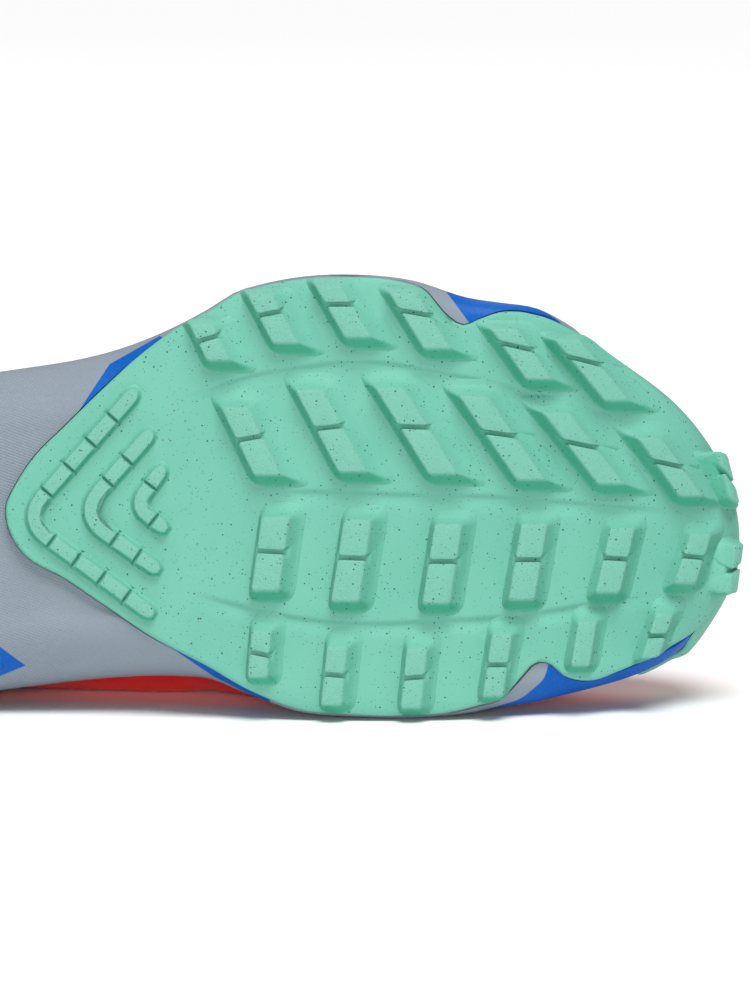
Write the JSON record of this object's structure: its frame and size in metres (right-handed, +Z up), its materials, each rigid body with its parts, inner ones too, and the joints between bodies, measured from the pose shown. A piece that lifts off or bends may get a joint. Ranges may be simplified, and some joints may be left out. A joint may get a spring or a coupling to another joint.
{
  "type": "trail running shoe",
  "caption": "Right trail running shoe lying on its medial side, with a lugged rubber outsole, foam midsole, hollow upper, tongue and lace.",
  "frame": {"origin": "centre of the bounding box on the floor, under the shoe as it lies on its medial side", "axes": "+X from heel to toe, -Y the way the sole faces, +Z up"},
  "size_m": [0.3056, 0.1278, 0.1118],
  "materials": {
    "outsole_rubber": "matte speckled",
    "midsole_foam": "satin",
    "insole_fabric": "knit",
    "upper_fabric": "mesh",
    "tongue_fabric": "padded mesh",
    "eyestay_overlay": "satin film",
    "lace_fabric": "woven"
  },
  "bodies": {
    "root": {"outsole_forefoot": "outsole_rubber", "outsole_heel": "outsole_rubber", "midsole": "midsole_foam", "insole": "insole_fabric", "upper": "upper_fabric", "eyestay": "eyestay_overlay", "tongue": "tongue_fabric", "lace": "lace_fabric"}
  },
  "joints": []
}
